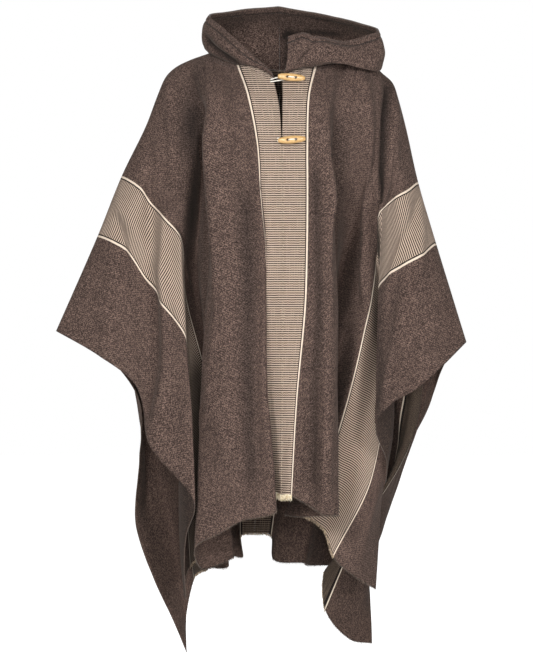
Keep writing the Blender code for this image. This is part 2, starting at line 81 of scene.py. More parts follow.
# Where each thread of the right half passes over the shoulder and the arm.
RIDGE_RIGHT = (
    (0.137, (-142, 0, 38)),
    (0.180, (-181, 0, 24)),
    (0.214, (-210, 0, 9)),
    (0.240, (-229, 0, -10)),
    (0.280, (-245, 0, -46)),
    (0.348, (-269, 0, -109)),
    (0.455, (-317, 0, -208)),
    (0.585, (-366, 0, -330)),
    (0.790, (-448, -4, -518)),
)
RIDGE_LEFT = (
    (0.137, (142, 0, 38)),
    (0.180, (178, 0, 22)),
    (0.217, (205, 0, -2)),
    (0.250, (226, 0, -22)),
    (0.282, (237, 0, -53)),
    (0.345, (253, 0, -114)),
    (0.455, (277, 0, -221)),
    (0.585, (314, 0, -347)),
    (0.790, (373, -4, -540)),
)
# The neck hole's edge, front and back, from the centre to the side of the neck.
NECK_FRONT_RIGHT = (
    (0.000, (-5, -97, -20)),
    (0.030, (-44, -84, 2)),
    (0.065, (-86, -62, 8)),
    (0.100, (-116, -32, 22)),
    (0.137, (-142, 0, 38)),
)
NECK_FRONT_LEFT = (
    (0.000, (-5, -97, -20)),
    (0.030, (28, -90, -4)),
    (0.065, (72, -70, 4)),
    (0.100, (112, -36, 20)),
    (0.137, (142, 0, 38)),
)
NECK_BACK_LEFT = (
    (0.000, (0, 86, 12)),
    (0.065, (66, 76, 18)),
    (0.100, (104, 51, 30)),
    (0.137, (142, 0, 38)),
)
NECK_BACK_RIGHT = [(place, (-x, y, z)) for place, (x, y, z) in NECK_BACK_LEFT]

# The centre seam, which both halves have, in the columns of the tables below.
SEAM_FRONT = (0.000, (1, -132, -80), (3, -147, -156), (5, -154, -256), (5, -157, -356),
    (5, -157, -476), (4, -152, -646), (2, -140, -838))
SEAM_BACK = (0.000, (0, 116, -40), (-4, 132, -220), (-14, 142, -430), (-32, 138, -680), (-52, 122, -932))
# Front of the right half. The sleeve part hangs before the arm, laps over at the fold's edge and
# runs back under it, in a deep trough beside the body's front.
# thread  wrap  sleeve  lap  edge  under  thigh  hem
FRONT_RIGHT = (
    SEAM_FRONT,
    (0.065, (-64, -125, -60), (-46, -146, -156), (-40, -150, -256), (-32, -151, -356),
     (-36, -146, -476), (-33, -134, -646), (-18, -112, -834)),
    (0.095, (-88, -122, -60), (-66, -146, -152), (-50, -156, -256), (-38, -160, -356),
     (-33, -167, -476), (-31, -172, -646), (-7, -160, -868)),
    (0.180, (-142, -100, -66), (-141, -122, -156), (-131, -132, -256), (-120, -142, -356),
     (-108, -148, -476), (-97, -148, -646), (-74, -158, -886)),
    (0.240, (-176, -62, -72), (-156, -84, -124), (-152, -34, -200), (-150, -76, -320),
     (-150, -106, -440), (-149, -116, -646), (-116, -148, -910)),
    (0.290, (-206, -48, -102), (-170, -76, -156), (-160, -8, -236), (-162, -16, -360),
     (-156, -50, -476), (-158, -94, -680), (-166, -122, -940)),
    (0.345, (-232, -45, -142), (-190, -66, -206), (-176, -50, -262), (-172, -6, -380),
     (-150, -14, -500), (-134, -56, -690), (-156, -90, -984)),
    (0.400, (-260, -45, -182), (-222, -50, -244), (-194, -78, -284), (-186, -20, -390),
     (-158, 8, -500), (-118, -18, -690), (-118, -80, -976)),
    (0.455, (-278, -46, -232), (-250, -50, -270), (-222, -68, -298), (-194, -88, -340),
     (-188, 2, -450), (-140, 10, -640), (-92, -58, -964)),
    (0.520, (-302, -47, -292), (-260, -55, -344), (-224, -82, -388), (-190, -98, -440),
     (-190, 4, -552), (-166, 12, -720), (-136, -22, -958)),
    (0.585, (-306, -49, -360), (-262, -57, -424), (-222, -92, -476), (-184, -110, -538),
     (-194, -6, -656), (-190, 0, -806), (-180, -4, -988)),
    (0.690, (-336, -50, -464), (-272, -60, -536), (-222, -102, -604), (-172, -132, -686),
     (-196, -52, -780), (-200, -26, -906), (-190, -28, -1038)),
    (0.790, (-352, -46, -572), (-284, -58, -630), (-256, -98, -744), (-168, -136, -850),
     (-184, -108, -920), (-188, -88, -985), (-186, -64, -1046)),
)
# Front of the left half. One more soft fold stands beside the centre band, and the sleeve part's
# edge lies close over the body's front.
FRONT_LEFT = (
    SEAM_FRONT,
    (0.065, (57, -128, -62), (54, -147, -156), (54, -155, -256), (53, -158, -356),
     (49, -160, -476), (33, -160, -646), (22, -156, -838)),
    (0.100, (84, -120, -66), (84, -140, -156), (85, -152, -256), (83, -158, -356),
     (80, -162, -476), (66, -158, -646), (52, -140, -856)),
    (0.145, (116, -106, -72), (106, -118, -160), (104, -128, -262), (106, -138, -356),
     (110, -144, -476), (104, -160, -646), (84, -166, -874)),
    (0.185, (144, -86, -72), (128, -92, -162), (114, -92, -262), (110, -100, -356),
     (110, -106, -476), (112, -122, -646), (114, -142, -876)),
    (0.235, (182, -62, -68), (156, -78, -168), (130, -58, -262), (116, -50, -356),
     (109, -56, -476), (104, -84, -646), (88, -106, -880)),
    (0.300, (216, -44, -92), (184, -64, -176), (158, -40, -266), (128, 4, -370),
     (104, -6, -490), (70, -34, -660), (42, -84, -884)),
    (0.380, (236, -42, -166), (214, -54, -212), (198, -74, -250), (178, -60, -330),
     (136, -46, -480), (94, 12, -680), (10, -30, -884)),
    (0.455, (252, -42, -238), (228, -54, -252), (210, -74, -268), (198, -88, -286),
     (181, -76, -440), (120, -50, -700), (48, -6, -888)),
    (0.520, (264, -44, -306), (236, -56, -324), (212, -80, -342), (196, -104, -358),
     (206, -24, -500), (156, -36, -750), (88, -22, -914)),
    (0.585, (280, -46, -370), (244, -58, -390), (214, -86, -411), (192, -106, -438),
     (216, -20, -570), (182, -46, -810), (106, -42, -966)),
    (0.690, (304, -48, -480), (250, -62, -520), (212, -94, -548), (188, -110, -584),
     (226, -28, -681), (180, -54, -890), (148, -28, -1006)),
    (0.790, (314, -46, -596), (268, -58, -634), (216, -88, -664), (186, -108, -706),
     (210, -62, -777), (203, -4, -866), (193, 20, -1037)),
)
# Backs. The cloth falls from the shoulder blades and behind each arm.
# thread  wrap  waist  hip  thigh  hem
BACK_RIGHT = (
    SEAM_BACK,
    (0.065, (-66, 110, -36), (-68, 132, -220), (-78, 146, -430), (-84, 142, -680), (-80, 128, -938)),
    (0.125, (-120, 97, -30), (-122, 126, -220), (-126, 140, -430), (-126, 160, -690), (-76, 164, -984)),
    (0.200, (-180, 72, -40), (-170, 104, -220), (-154, 98, -430), (-134, 104, -700), (-106, 112, -976)),
    (0.300, (-226, 52, -110), (-202, 50, -270), (-162, 46, -460), (-124, 44, -720), (-106, 52, -996)),
    (0.380, (-258, 50, -176), (-238, 82, -310), (-208, 86, -500), (-168, 98, -750), (-138, 112, -1002)),
    (0.455, (-286, 48, -240), (-264, 102, -370), (-240, 130, -550), (-196, 142, -780), (-148, 150, -1006)),
    (0.520, (-310, 48, -302), (-282, 88, -430), (-262, 98, -600), (-224, 108, -824), (-170, 100, -1012)),
    (0.585, (-332, 46, -364), (-296, 78, -490), (-248, 60, -650), (-196, 54, -850), (-176, 62, -1022)),
    (0.690, (-356, 44, -478), (-306, 76, -580), (-270, 92, -720), (-234, 96, -872), (-190, 34, -1098)),
    (0.790, (-350, 40, -570), (-284, 48, -662), (-284, 36, -776), (-288, 22, -918), (-187, -14, -1158)),
)
BACK_LEFT = (
    SEAM_BACK,
    (0.065, (66, 110, -36), (60, 132, -220), (48, 142, -430), (18, 128, -690), (-16, 116, -938)),
    (0.120, (118, 98, -30), (112, 130, -220), (94, 128, -430), (48, 98, -700), (-12, 92, -984)),
    (0.200, (180, 72, -40), (174, 104, -220), (146, 88, -440), (92, 56, -710), (46, 62, -988)),
    (0.250, (204, 60, -60), (188, 76, -266), (164, 48, -500), (116, 90, -770), (60, 102, -996)),
    (0.300, (224, 50, -110), (204, 56, -330), (170, 72, -590), (130, 144, -830), (88, 146, -1000)),
    (0.380, (246, 48, -180), (230, 90, -400), (206, 126, -640), (190, 160, -860), (130, 168, -1002)),
    (0.455, (266, 46, -266), (264, 78, -470), (250, 82, -690), (212, 114, -870), (118, 120, -1004)),
    (0.520, (288, 46, -326), (284, 64, -530), (256, 60, -730), (178, 76, -890), (92, 84, -1008)),
    (0.585, (306, 48, -396), (300, 66, -580), (262, 66, -750), (154, 56, -936), (92, 54, -1082)),
    (0.690, (330, 50, -496), (292, 84, -640), (254, 128, -780), (204, 134, -940), (140, 84, -1144)),
    (0.790, (336, 44, -580), (302, 134, -682), (240, 192, -806), (190, 192, -966), (188, 110, -1157)),
)
FRONT_ROWS = (13, 13, 14, 15, 18, 28, 36)  # rows of faces between one column and the next
BACK_ROWS = (12, 26, 30, 36, 38)
SLIT_ROWS = (0, FRONT_ROWS[0], sum(FRONT_ROWS[:2]))  # where SLIT_HALF's stations lie

# The hood. Each row stands on one place of the neck hole's edge: 0 is the slit, 1 the side of the
# neck and 2 the centre back.
# place  roll  bag  crown  rim
HOOD_BACK = (2.00, (0, 146, -4), (0, 198, -20), (0, 190, 90), (-3, 122, 147))
HOOD_RIGHT = (
    (0.00, (-17, -101, -12), (-23, -102, -6), (-29, -99, 1), (-36, -92, 8)),
    (0.47, (-93, -70, 17), (-95, -76, 28), (-90, -77, 40), (-79, -72, 50)),
    (0.73, (-128, -36, 32), (-134, -38, 50), (-128, -37, 70), (-112, -32, 84)),
    (1.00, (-152, 2, 48), (-157, 10, 70), (-154, 18, 97), (-142, 22, 117)),
    (1.27, (-132, 68, 42), (-146, 92, 50), (-138, 86, 100), (-110, 60, 127)),
    (1.53, (-92, 110, 24), (-104, 148, 20), (-92, 148, 92), (-68, 96, 139)),
    HOOD_BACK,
)
HOOD_LEFT = (
    (0.00, (9, -104, -8), (13, -108, 12), (15, -104, 38), (15, -96, 60)),
    (0.22, (34, -100, -2), (40, -108, 14), (42, -106, 42), (42, -92, 67)),
    (0.47, (76, -92, 6), (84, -104, 12), (84, -100, 38), (80, -84, 60)),
    (0.73, (126, -58, 20), (142, -82, 8), (139, -74, 40), (128, -62, 57)),
    (1.00, (174, -20, 38), (207, -32, 14), (207, -26, 52), (195, -16, 81)),
    (1.27, (146, 44, 52), (186, 56, 42), (186, 50, 76), (164, 32, 101)),
    (1.53, (104, 100, 34), (130, 138, 26), (120, 128, 92), (108, 84, 122)),
    HOOD_BACK,
)
HOOD_ROWS = (8, 16, 26, 18)

# Each toggle's middle, the way it points, and where the ends of its loop leave the cloth.
# name  middle  along  loop
TOGGLES = (
    ("upper", (22, -117, -22), (27, 3, -2), (-19, -108, -27)),
    ("lower", (22, -157, -147), (27, 1, 2), (-6, -149, -146)),
)

# Soft creases on the woven halves, in millimetres, from one spot to another: a spot is its thread and
# the way down it from the shoulder, in front or behind. A negative depth is a trough.
# thread  down  thread  down  depth  half-width
CREASES_FRONT_RIGHT = (
    (370, 40, 470, 105, -5, 14), (280, 46, 360, 110, 5, 13),
    (440, 95, 740, 255, -8, 22), (480, 165, 730, 300, 9, 18),
    (200, 60, 250, 180, -7, 15), (172, 160, 205, 800, 9, 24),
    (182, 220, 226, 720, 7, 14), (222, 160, 290, 660, -15, 26),
    (116, 380, 132, 880, -9, 14), (70, 260, 72, 880, 9, 14),
    (84, 300, 100, 900, 6, 9), (145, 330, 120, 120, -5, 12),
    (235, 716, 186, 682, 2.6, 5), (226, 744, 188, 720, 2, 4),
    (215, 560, 180, 500, -3, 9), (140, 720, 160, 900, -6, 13),
    (620, 60, 760, 110, 5, 15), (560, 60, 640, 120, -6, 12),
    (520, 50, 560, 250, 6, 20),
)
CREASES_FRONT_LEFT = (
    (112, 130, 118, 360, 9, 16), (120, 340, 142, 900, 10, 13),
    (92, 340, 102, 880, -9, 12), (152, 170, 230, 560, -14, 24),
    (205, 85, 420, 300, 11, 20), (258, 36, 440, 212, -13, 13),
    (305, 30, 490, 176, 6, 14), (500, 40, 590, 150, -5, 12),
    (560, 50, 700, 130, 6, 14), (640, 130, 740, 220, -5, 14),
    (340, 40, 420, 80, 4, 10),
)
CREASES_BACK_RIGHT = (
    (30, 160, 90, 620, 8.1, 26), (180, 80, 250, 430, -9.2, 24),
    (330, 100, 410, 520, 7.6, 23), (520, 120, 600, 400, -7.6, 21),
    (120, 500, 160, 900, 7, 22), (660, 100, 740, 460, 8.1, 22),
)
CREASES_BACK_LEFT = (
    (40, 220, 110, 700, -8.1, 25), (170, 70, 260, 380, 8.6, 24),
    (340, 90, 440, 480, -7.6, 22), (540, 100, 620, 420, 7.6, 21),
    (90, 540, 140, 920, -6.5, 22), (690, 120, 750, 500, -8.1, 21),
)
# Painted shade where a fold is so deep that little light gets in: the same, with the darkness painted into the
# colour in per cent.
# thread  down  thread  down  darkness  half-width
SHADES_RIGHT = (
    (270, 130, 350, 225, 42, 50), (330, 240, 460, 390, 54, 50),
    (190, 75, 260, 130, 40, 34), (118, 380, 150, 880, 52, 18),
    (490, 510, 600, 860, 78, 52),
)
SHADES_LEFT = (
    (165, 210, 300, 560, 36, 34), (290, 560, 330, 800, 40, 40),
    (82, 330, 106, 880, 52, 12), (262, 36, 374, 146, 88, 15),
    (390, 150, 480, 172, 74, 14), (510, 184, 760, 252, 58, 24),
    (440, 222, 490, 350, 60, 14),
)
# Painted shade on the reverse of both fronts.
SHADES_INSIDE = ((700, 250, 790, 640, 45, 90),)
# Painted shade in the hood's deep folds and at its flap's edge.
# place  height  place  height  darkness  half-width
SHADES_HOOD_RIGHT = ((840, 42, 480, 10, 88, 11),)
SHADES_HOOD_LEFT = (
    (1920, 222, 1580, 172, 72, 7), (1950, 160, 1940, 225, 62, 8),
    (230, 36, 250, 41, 60, 4),
)
# Soft creases on the hood, by the place on the neck hole's edge, in thousandths, and the height above.
# place  height  place  height  depth  half-width
CREASES_HOOD_RIGHT = (
    (840, 42, 480, 10, -9, 9), (820, 64, 360, 30, 3, 7),
    (1250, 30, 1500, 75, -4, 11), (1300, 90, 1620, 150, 4, 15),
    (1750, 110, 1860, 230, -3, 14), (1520, 185, 1780, 235, 3, 12),
)
CREASES_HOOD_LEFT = (
    (100, 45, 220, 74, 3.4, 9), (220, 36, 240, 41, -3.2, 4),
    (370, 90, 320, 26, -3.6, 5), (400, 46, 980, 76, -3.4, 8),
    (460, 68, 1020, 112, 3, 10), (500, 20, 900, 40, 2.6, 8),
    (1900, 212, 1560, 158, 6, 9), (1850, 262, 1600, 212, 2.5, 11),
    (1950, 150, 1930, 222, 5, 8), (1200, 75, 1500, 120, 3.5, 14),
    (1350, 30, 1700, 110, -4, 14),
)
# The corner of the left flap sinks onto the shoulder: where (place, height), and how far.
SAG_AT, SAG = (1.0, 0.080), (-0.009, 0, -0.017)
CREASE_END = 0.045  # how softly a crease dies out past its ends
CREASE_BOW = 0.02  # how far it bows to one side, as a share of its length
HOOD_REACH = 5  # the hood's edge counts as this many places to a metre


def lengths(points):
    """How far along a line of points each one lies."""
    found = [0.0]
    for a, b in zip(points, points[1:]):
        found.append(found[-1] + (b - a).length)
    return found


def smooth(places, points, place):
    """A point on the smooth curve through points, which it passes at these places."""
    k = min(max(bisect.bisect_right(places, place) - 1, 0), len(places) - 2)
    width = places[k + 1] - places[k]
    t = (place - places[k]) / width
    slopes = []
    for i in (k, k + 1):
        before, after = max(i - 1, 0), min(i + 1, len(places) - 1)
        slopes.append((points[after] - points[before]) / (places[after] - places[before]))
    return (
        points[k] * (2 * t**3 - 3 * t**2 + 1)
        + slopes[0] * width * (t**3 - 2 * t**2 + t)
        + points[k + 1] * (3 * t**2 - 2 * t**3)
        + slopes[1] * width * (t**3 - t**2)
    )


def column(table, index, place):
    """Where a table's column crosses the thread at this place."""
    return smooth([row[0] for row in table], [Vector(row[index]) * MM for row in table], place)


def stepped(stations, steps, before=None):
    """Points along a curve through the stations, with so many steps from each to the next."""
    through = stations if before is None else [before] + stations
    places = lengths(through)
    ends = places[len(through) - len(stations):]
    points = [stations[0].copy()]
    for start, end, count in zip(ends, ends[1:], steps):
        points += [smooth(places, through, start + (end - start) * i / count) for i in range(1, count + 1)]
    return points


def colour(code):
    """An sRGB hex colour as linear values."""
    channels = [int(code[k:k + 2], 16) / 255 for k in (1, 3, 5)]
    return (*[c / 12.92 if c <= 0.04045 else ((c + 0.055) / 1.055) ** 2.4 for c in channels], 1)


def add(tree, kind, values=(), output=0):
    """Adds one node, and gives one of its outputs. Each value is set or, if a socket, linked."""
    made = tree.nodes.new("ShaderNode" + kind)
    for key, value in dict(values).items():
        if isinstance(value, bpy.types.NodeSocket):
            tree.links.new(value, made.inputs[key])
        elif isinstance(key, int) or key in made.inputs:
            made.inputs[key].default_value = value
        else:
            setattr(made, key, value)
    return made.outputs[output]


def finish_of(name, settings):
    """A new material and its shader, with constant settings."""
    made = bpy.data.materials.new(name)
    made.use_nodes = True
    shader = made.node_tree.nodes["Principled BSDF"]
    for key, value in settings.items():
        shader.inputs[key].default_value = value
    return made, shader


def wire(shader, base, height=None, strength=0.30, distance=0.6 * MM):
    """Links a shader's colour, and the relief of its surface where it has one."""
    tree = shader.id_data
    tree.links.new(base, shader.inputs["Base Color"])
    if height is not None:
        bump = add(tree, "Bump", {"Strength": strength, "Distance": distance, "Height": height})
        tree.links.new(bump, shader.inputs["Normal"])


SMOOTH = {"interpolation_type": "SMOOTHSTEP"}  # for a Map Range with soft ends
OVER = {"data_type": "RGBA", "clamp_factor": True}  # for a Mix that lays its second colour on its first
CREAM_BORDER = 4.0 * MM
DARK_LINE = 2.6 * MM
DARK_BARS = 9.0 * MM  # the broader dark stripe of the reverse
STRIPE_BLUR = 0.25 * MM  # half the width over which one stripe turns into the next
LINE_PITCH = 4.4 * MM
WARP_PITCH = 7.0 * MM
TWILL_PITCH = 5.0 * MM
FLECK = 1.2 * MM  # coarser than the real yarn, so that the marl still shows

MARL_TONES = ("#241b18", "#483933", "#816b61")
# The reverse's tones are a little darker than the face's: painted shade for the garment's inside.
REVERSE_TONES = ("#1e1613", "#3f312b", "#725d53")
CREAM = colour("#eee0cd")
# The near-black that painted shade darkens the cloth toward, in deep folds and in the hood hem's groove.
PAINTED_SHADE_COLOUR = colour("#140f0c")
WOVEN = {
    "Roughness": 0.93,
    "IOR": 1.5,
    "Specular IOR Level": 0.25,
    "Sheen Roughness": 0.45,
    "Sheen Tint": (0.80, 0.66, 0.56, 1),
}


def marl(tree, weave, tones):
    """The colour of fulled yarn spun from fleeces of several browns, and its fine relief."""
    spot = add(tree, "VectorMath", {"operation": "DIVIDE", 0: weave, 1: (FLECK, FLECK * 1.2, 1)})
    fleck = add(tree, "TexNoise", {"Scale": 0.9, "Detail": 2.0, "Roughness": 0.62, "Vector": spot})
    fibre = add(tree, "TexVoronoi", {"Scale": 1.0, "Vector": spot}, "Color")
    grey = add(tree, "SeparateColor", {0: fibre})
    # A fine twill line runs slantwise through the ground.
    slant = add(tree, "VectorMath", {"operation": "DOT_PRODUCT", 0: weave, 1: (1, 1, 0)}, "Value")
    wave = add(tree, "Math", {"operation": "PINGPONG", 0: slant, 1: TWILL_PITCH / 2})
    twill = add(tree, "MapRange", {**SMOOTH, 0: wave, 1: 0, 2: TWILL_PITCH / 2})
    light = 0
    for part, share in ((fleck, 0.22), (grey, 0.80), (twill, 0.16)):
        light = add(tree, "Math", {"operation": "MULTIPLY_ADD", 0: part, 1: share, 2: light})
    shade = add(tree, "ValToRGB", {0: add(tree, "MapRange", {0: light, 1: 0.20, 2: 1.06})})
    ramp = shade.node.color_ramp
    ramp.elements[0].color = colour(tones[0])
    ramp.elements[1].color = colour(tones[2])
    ramp.elements.new(0.5).color = colour(tones[1])
    # Broad, faint patches, as from one handful of fleece to the next.
    broad = add(tree, "TexNoise", {"Scale": 0.03, "Detail": 3.0, "Roughness": 0.6, "Vector": spot})
    drift = add(tree, "MapRange", {0: broad, 1: 0.3, 2: 0.7, 3: 0.90, 4: 1.10})
    values = {"data_type": "RGBA", "blend_type": "MULTIPLY", 0: 1.0, 6: shade, 7: drift}
    return add(tree, "Mix", values, 2), fleck


def folded(tree, base):
    """The colour with painted shade: darker where the cloth's vertices say that the spot lies deep in a fold.
    """
    depth = add(tree, "Attribute", {"attribute_name": "fold"}, "Fac")
    return add(tree, "Mix", {**OVER, 0: depth, 6: base, 7: PAINTED_SHADE_COLOUR}, 2)


def woven_cloth(name, tones, lights, darks, sheen, dark_line, pale_from):
    """Warp-faced wool and alpaca cloth, woven on a hand loom and fulled: it scatters light softly,
    with a faint nap. The bands are bordered by a pale and a dark warp stripe, and between these
    fine weft-wise lines cross the band."""
    made, shader = finish_of(name, {**WOVEN, "Sheen Weight": sheen})
    tree = made.node_tree
    weave = add(tree, "UVMap", {"uv_map": "weave"})
    ground, relief = marl(tree, weave, tones)
    u = add(tree, "SeparateXYZ", {0: weave}, "X")
    level = add(tree, "SeparateXYZ", {0: add(tree, "UVMap", {"uv_map": "level"})}, "Y")
    # How deep inside a band: the centre band ends at its half-width, and a side band is as wide.
    off = add(tree, "Math", {"operation": "SUBTRACT", 0: u, 1: sum(SIDE_BAND) / 2})
    off = add(tree, "Math", {"operation": "ABSOLUTE", 0: off})
    nearest = add(tree, "Math", {"operation": "MINIMUM", 0: u, 1: off})
    depth = add(tree, "Math", {"operation": "SUBTRACT", 0: BAND_HALF, 1: nearest})
    spot = add(tree, "VectorMath", {"operation": "DIVIDE", 0: weave, 1: (1.3 * MM, 9 * MM, 1)})
    uneven = add(tree, "TexNoise", {"Scale": 1.0, "Detail": 1.0, "Vector": spot})
    wander = add(tree, "MapRange", {0: uneven, 3: -0.45 * MM, 4: 0.45 * MM})
    depth = add(tree, "Math", {"operation": "ADD", 0: depth, 1: wander})
    border, dark, inside = (
        add(tree, "MapRange", {**SMOOTH, 0: depth, 1: edge - STRIPE_BLUR, 2: edge + STRIPE_BLUR})
        for edge in (0, CREAM_BORDER, CREAM_BORDER + dark_line)
    )
    # The lines across the band: each weft pass is a little off its place in each warp thread, and
    # the side bands are the neater.
    spot = add(tree, "VectorMath", {"operation": "DIVIDE", 0: weave, 1: (2.4 * MM, 30 * MM, 1)})
    stagger = add(tree, "TexNoise", {"Scale": 1.0, "Detail": 2.0, "Vector": spot})
    unrest = add(tree, "MapRange", {0: u, 1: LEVEL_WITHIN, 2: LEVEL_WITHIN + 0.01, 3: 1.0, 4: 0.35})
    drift = add(tree, "MapRange", {0: stagger, 3: -1.5 * MM, 4: 1.5 * MM})
    weft = add(tree, "Math", {"operation": "MULTIPLY_ADD", 0: drift, 1: unrest, 2: level})
    wave = add(tree, "Math", {"operation": "PINGPONG", 0: weft, 1: LINE_PITCH / 2})
    low, high = (LINE_PITCH * share for share in (pale_from, pale_from + 0.16))
    pale = add(tree, "MapRange", {**SMOOTH, 0: wave, 1: low, 2: high})
    streaked = add(tree, "Mix", {**OVER, 0: relief, 6: colour(lights[1]), 7: colour(lights[0])}, 2)
    # Here and there a pale warp thread rides over the dark weft.
    warp = add(tree, "Math", {"operation": "PINGPONG", 0: u, 1: WARP_PITCH / 2})
    warp = add(tree, "MapRange", {**SMOOTH, 0: warp, 1: WARP_PITCH * 0.30, 2: WARP_PITCH * 0.46})
    riding = add(tree, "MapRange", {**SMOOTH, 0: stagger, 1: 0.42, 2: 0.62, 3: 0.0, 4: 0.55})
    for share in (warp, unrest):
        riding = add(tree, "Math", {"operation": "MULTIPLY", 0: riding, 1: share})
    pale_yarn = add(tree, "Math", {"operation": "MAXIMUM", 0: pale, 1: riding})
    lined = add(tree, "Mix", {**OVER, 0: pale_yarn, 6: colour(darks[1]), 7: streaked}, 2)
    cream = add(tree, "Mix", {**OVER, 0: relief, 6: streaked, 7: CREAM}, 2)
    striped = ground
    for share, yarn in ((border, cream), (dark, colour(darks[0])), (inside, lined)):
        striped = add(tree, "Mix", {**OVER, 0: share, 6: striped, 7: yarn}, 2)
    rise = add(tree, "MapRange", {0: pale, 3: -0.3, 4: 0.3})
    height = add(tree, "Math", {"operation": "MULTIPLY_ADD", 0: rise, 1: inside, 2: relief})
    # The colour gets painted shade where the folds are deep.
    wire(shader, folded(tree, striped), height)
    return made


def hood_cloth(name):
    """The same fulled cloth without bands, cut for the hood. Painted shade darkens the sewn groove of its hem.
    """
    made, shader = finish_of(name, {**WOVEN, "Sheen Weight": 0.12})
    tree = made.node_tree
    weave = add(tree, "UVMap", {"uv_map": "weave"})
    ground, relief = marl(tree, weave, MARL_TONES)
    v = add(tree, "SeparateXYZ", {0: weave}, "Y")
    # A line of painted shade along the groove of the hem, then painted shade in deep folds.
    off = add(tree, "Math", {"operation": "SUBTRACT", 0: v, 1: RIM_HEM})
    off = add(tree, "Math", {"operation": "ABSOLUTE", 0: off})
    groove = add(tree, "MapRange", {**SMOOTH, 0: off, 1: 0.8 * MM, 2: 2.2 * MM, 3: 0.72, 4: 0.0})
    groove_shaded = add(tree, "Mix", {**OVER, 0: groove, 6: ground, 7: PAINTED_SHADE_COLOUR}, 2)
    wire(shader, folded(tree, groove_shaded), relief)
    return made


def spun_yarn(name, tones, grain, roughness=0.9, sheen=0.2):
    """Spun yarn: soft, matt, and a little uneven in colour along its length."""
    made, shader = finish_of(name, {"Roughness": roughness, "Sheen Weight": sheen, "IOR": 1.5})
    tree = made.node_tree
    place = add(tree, "TexCoord", {}, "Object")
    uneven = add(tree, "TexNoise", {"Scale": 1 / grain, "Detail": 2.0, "Vector": place})
    share = add(tree, "MapRange", {**SMOOTH, 0: uneven, 1: 0.35, 2: 0.65})
    wire(shader, add(tree, "Mix", {**OVER, 0: share, 6: colour(tones[0]), 7: colour(tones[1])}, 2))
    return made


def turned_wood(name):
    """Light hardwood, turned and waxed: a low satin gloss, with fine grain along the toggle."""
    settings = {"Roughness": 0.36, "IOR": 1.5, "Coat Weight": 0.25, "Coat Roughness": 0.2}
    made, shader = finish_of(name, settings)
    tree = made.node_tree
    place = add(tree, "TexCoord", {}, "Object")
    grain = add(tree, "Mapping", {"Scale": (60, 900, 900), "Vector": place})
    figure = add(tree, "TexNoise", {"Scale": 1.0, "Detail": 4.0, "Roughness": 0.6, "Vector": grain})
    share = add(tree, "MapRange", {**SMOOTH, 0: figure, 1: 0.32, 2: 0.68})
    base = add(tree, "Mix", {**OVER, 0: share, 6: colour("#b98a4e"), 7: colour("#e0bd85")}, 2)
    wire(shader, base, figure, 0.15, 0.3 * MM)
    return made


CLOTH_OUT = woven_cloth(
    "marl_wool_hand_woven", MARL_TONES, ("#cab5a3", "#ab9788"), ("#241b17", "#33281f"), 0.08, DARK_LINE, 0.185
)
# The reverse: the band's dark ground with thin pale lines is the weave's own; its marl and pale lines are set
# darker as painted shade.
CLOTH_IN = woven_cloth(
    "marl_wool_reverse_hand_woven", REVERSE_TONES, ("#9c8875", "#7d6b5b"), ("#1a1411", "#221a16"), 0.06,
    DARK_BARS, 0.34,
)
CLOTH_EDGE = spun_yarn("wool_cut_edge_frayed", ("#3a2f28", "#5c4c42"), 2 * MM)
HOOD_OUT = hood_cloth("marl_wool_hood_hand_woven")
HOOD_IN = hood_cloth("marl_wool_hood_reverse")
SEAM_YARN = spun_yarn("wool_seam_yarn_spun", ("#2a211c", "#4a3d35"), 3 * MM)
CENTRE_YARN = spun_yarn("wool_joining_yarn_spun", ("#a8967f", "#d8c8ae"), 3 * MM)
FRINGE_YARN = spun_yarn("wool_fringe_yarn_combed", ("#cdb994", "#efe3ca"), 5 * MM)
FRAY_YARN = spun_yarn("wool_fray_yarn_loose", ("#3c3029", "#746354"), 6 * MM)
DULL_YARN = spun_yarn("wool_fringe_yarn_two_tone", ("#54453a", "#b49f83"), 3 * MM)
CORD_COTTON = spun_yarn("cotton_cord_twisted", ("#e4ddce", "#f7f3ea"), 2 * MM, 0.8, 0.1)
TOGGLE_WOOD = turned_wood("hardwood_turned_waxed")


class Half:
    """One woven half and its half of the hood: their tables, and the side that they hang on."""

    def __init__(self, name, side, **tables):
        self.name, self.side = name, side  # the side is -1 for the right half, at -X
        self.__dict__.update(tables)

    def stations(self, face, thread):
        """Where one thread meets the table's columns."""
        table = self.panel[face == "back"]
        top = self.ridge if thread >= NECK_HALF else self.neck[face == "back"]
        return [column(top, 1, thread)] + [column(table, c, thread) for c in range(1, len(table[0]))]

    def points(self, face, thread):
        """Points down one thread, from the neck or the shoulder to the hem."""
        other, rows = ("back", FRONT_ROWS) if face == "front" else ("front", BACK_ROWS)
        before = self.stations(other, thread)[1] if thread >= NECK_HALF else None
        found = stepped(self.stations(face, thread), rows, before)
        pull = max(0, 1 - thread / SLIT_SPREAD)
        for k, p in enumerate(found):
            opening = np.interp(k, SLIT_ROWS, SLIT_HALF) * MM if face == "front" else 0
            p.x += self.side * (opening + SEAM_GAP / 2) * pull
        return found

    def neck_place(self, place):
        """The neck hole's edge at this place, and the direction from the body up to it."""
        face, share = ("front", place) if place <= 1 else ("back", 2 - place)
        points = self.points(face, share * NECK_HALF * 0.99999)
        return points[0], (points[0] - points[4]).normalized()


def threads():
    """The threads that the fine cloth is built on, which include the bands' edges."""
    marks = (0.0, BAND_HALF, NECK_HALF, 0.24, 0.34, *SIDE_BAND, 0.69, HALF_WIDTH)
    found = [0.0]
    for a, b in zip(marks, marks[1:]):
        count = math.ceil((b - a) / COLUMN_STEP)
        found += [a + (b - a) * i / count for i in range(1, count + 1)]
    return found


